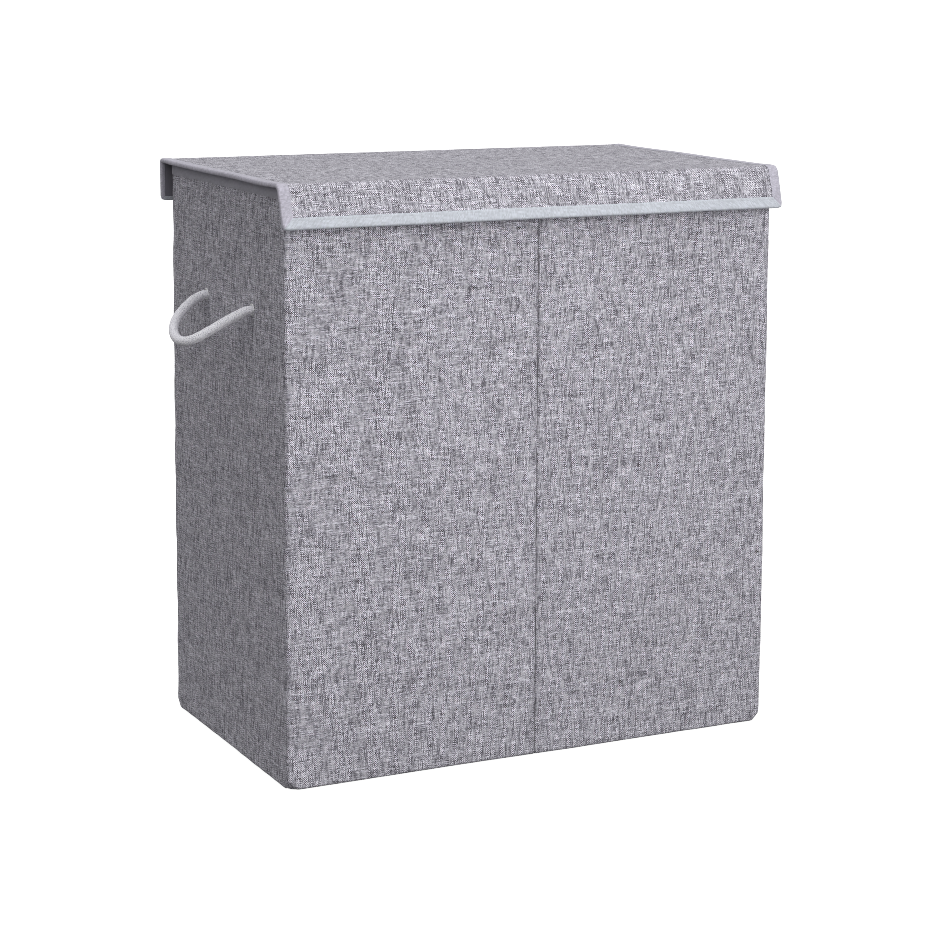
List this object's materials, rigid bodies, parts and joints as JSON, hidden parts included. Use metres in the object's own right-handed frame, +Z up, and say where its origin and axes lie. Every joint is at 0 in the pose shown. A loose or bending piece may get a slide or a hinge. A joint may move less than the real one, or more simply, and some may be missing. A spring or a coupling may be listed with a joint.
{
  "type": "folding laundry hamper",
  "caption": "Rectangular fabric laundry hamper on stiff boards with a hinged flap lid, rope side handles and lift-out liner bags in two compartments.",
  "frame": {"origin": "centre of the flat underside, on the floor", "axes": "+Z up, -Y to the front where the deep lid flap hangs, +X to the right"},
  "size_m": [0.7262, 0.3816, 0.66],
  "materials": {
    "weave": "slubby plain weave of light lavender-grey and charcoal yarns, matte",
    "tape": "smooth light grey folded binding tape, stitched",
    "lining": "plain grey non-woven lining, matte",
    "board": "grey-brown stiffener board",
    "rope": "light grey braided cord",
    "metal": "nickel-plated eyelets",
    "liner": "light plain-woven liner cloth",
    "webbing": "flat woven webbing",
    "hook_loop": "napped hook-and-loop strip"
  },
  "bodies": {
    "hamper_body": {"cover_front_left": "weave", "board_front_left": "board", "cover_front_right": "weave", "board_front_right": "board", "lining_front": "lining", "cover_back_left": "weave", "board_back_left": "board", "cover_back_right": "weave", "board_back_right": "board", "lining_back": "lining", "cover_left": "weave", "board_left": "board", "lining_left": "lining", "cover_right": "weave", "board_right": "board", "lining_right": "lining", "cover_bottom": "weave", "lining_bottom": "lining", "base_board": "board", "rim_binding_left": "tape", "rim_binding_right": "tape", "wall_loop_strip_left": "hook_loop", "eyelet_left_front": "metal", "knot_left_front": "rope", "eyelet_left_rear": "metal", "knot_left_rear": "rope", "liner_bag_left": "liner", "liner_hook_strip_front_left": "hook_loop", "liner_hook_strip_back_left": "hook_loop", "wall_loop_strip_right": "hook_loop", "eyelet_right_front": "metal", "knot_right_front": "rope", "eyelet_right_rear": "metal", "knot_right_rear": "rope", "liner_bag_right": "liner", "liner_hook_strip_front_right": "hook_loop", "liner_hook_strip_back_right": "hook_loop"},
    "back_flap": {"back_flap_cover": "weave", "back_flap_board": "board", "back_flap_lining": "lining", "back_flap_binding": "tape", "flap_hook_strip_left": "hook_loop", "flap_hook_strip_right": "hook_loop"},
    "lid": {"lid_cover": "weave", "lid_board": "board", "lid_lining": "lining", "lid_binding_left": "tape", "lid_binding_right": "tape"},
    "front_flap": {"front_flap_cover": "weave", "front_flap_board": "board", "front_flap_lining": "lining", "front_flap_binding": "tape"},
    "rope_left": {"rope_handle_left": "rope"},
    "rope_right": {"rope_handle_right": "rope"},
    "strap_front_left": {"liner_strap_front_left": "webbing"},
    "strap_front_right": {"liner_strap_front_right": "webbing"},
    "strap_back_left": {"liner_strap_back_left": "webbing"},
    "strap_back_right": {"liner_strap_back_right": "webbing"}
  },
  "joints": [
    {"name": "lid_lift", "type": "slide", "parent": "hamper_body", "child": "back_flap", "axis": [0, 0, 1], "range_m": [0, 0.12]},
    {"name": "lid_hinge", "type": "hinge", "parent": "back_flap", "child": "lid", "pos_m": [-0.004, 0.1841, 0.66], "axis": [-1, 0, 0], "range_deg": [0, 255]},
    {"name": "front_flap_hinge", "type": "hinge", "parent": "lid", "child": "front_flap", "pos_m": [-0.004, -0.1815, 0.66], "axis": [-1, 0, 0], "range_deg": [-10, 110]},
    {"name": "handle_left_swing", "type": "hinge", "parent": "hamper_body", "child": "rope_left", "pos_m": [-0.3067, -0.00975, 0.5155], "axis": [0, 1, 0], "range_deg": [-45, 125]},
    {"name": "handle_right_swing", "type": "hinge", "parent": "hamper_body", "child": "rope_right", "pos_m": [0.3067, -0.00975, 0.5155], "axis": [0, -1, 0], "range_deg": [-45, 125]},
    {"name": "strap_front_left_swing", "type": "hinge", "parent": "hamper_body", "child": "strap_front_left", "pos_m": [-0.1497, -0.1646, 0.636], "axis": [1, 0, 0], "range_deg": [0, 100]},
    {"name": "strap_front_right_swing", "type": "hinge", "parent": "hamper_body", "child": "strap_front_right", "pos_m": [0.1497, -0.1646, 0.636], "axis": [1, 0, 0], "range_deg": [0, 100]},
    {"name": "strap_back_left_swing", "type": "hinge", "parent": "hamper_body", "child": "strap_back_left", "pos_m": [-0.1497, 0.1646, 0.636], "axis": [-1, 0, 0], "range_deg": [0, 100]},
    {"name": "strap_back_right_swing", "type": "hinge", "parent": "hamper_body", "child": "strap_back_right", "pos_m": [0.1497, 0.1646, 0.636], "axis": [-1, 0, 0], "range_deg": [0, 100]}
  ]
}
